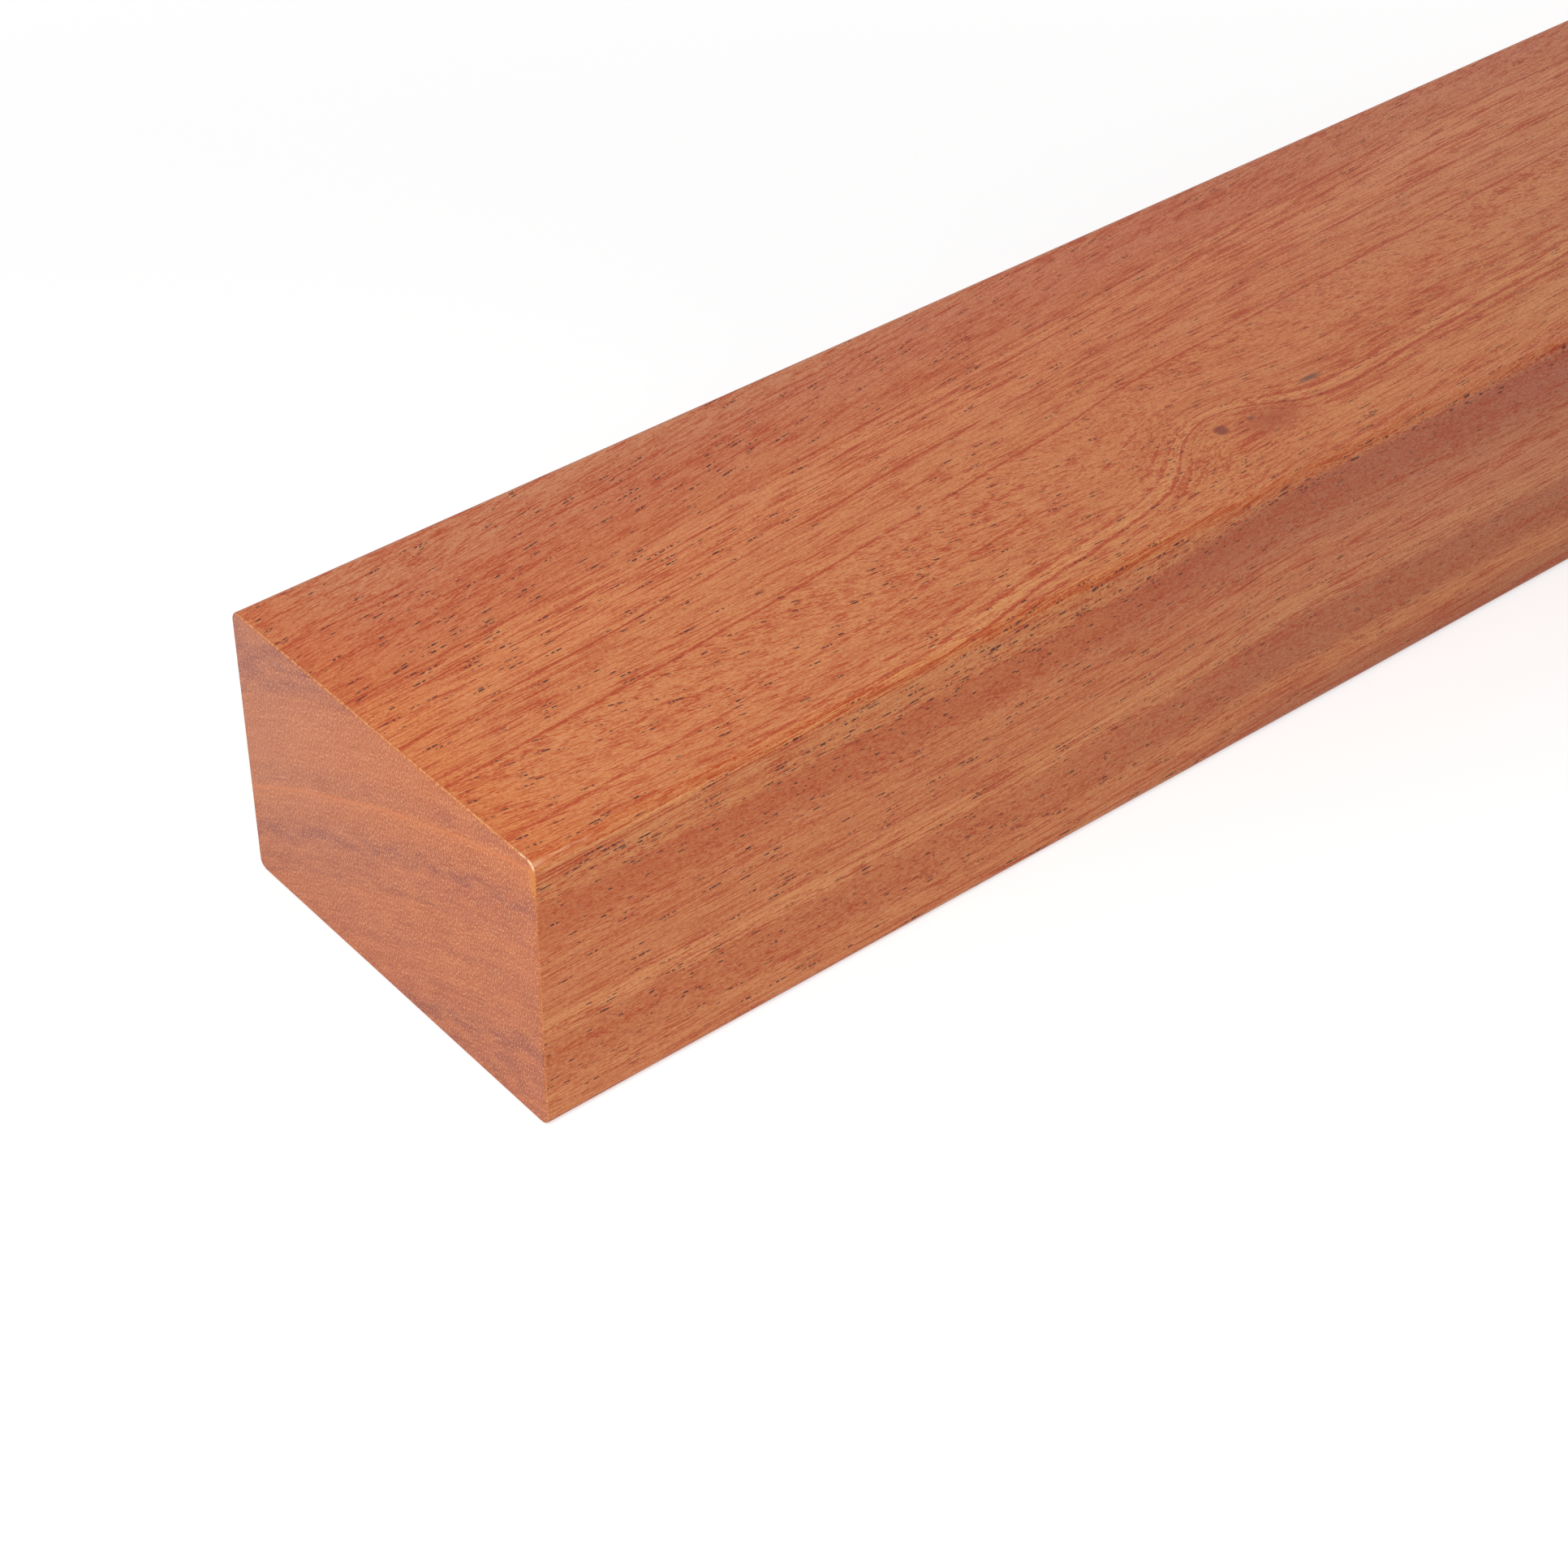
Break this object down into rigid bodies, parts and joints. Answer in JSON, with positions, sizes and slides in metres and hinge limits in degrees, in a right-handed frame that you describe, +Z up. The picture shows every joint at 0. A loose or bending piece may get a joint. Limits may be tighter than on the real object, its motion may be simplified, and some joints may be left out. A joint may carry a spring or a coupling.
{
  "type": "stair handrail length",
  "caption": "Straight length of planed reddish hardwood handrail, rectangular in section with small rounded long edges and square-cut ends, to fix along a stair as a rail.",
  "frame": {"origin": "middle of the underside, on the floor", "axes": "+X along the rail, +Y across its width, +Z up through its thickness"},
  "size_m": [1.2, 0.067, 0.044],
  "materials": {
    "hardwood": "planed and sanded, thin clear satin oil"
  },
  "bodies": {
    "root": {"handrail": "hardwood"}
  },
  "joints": []
}
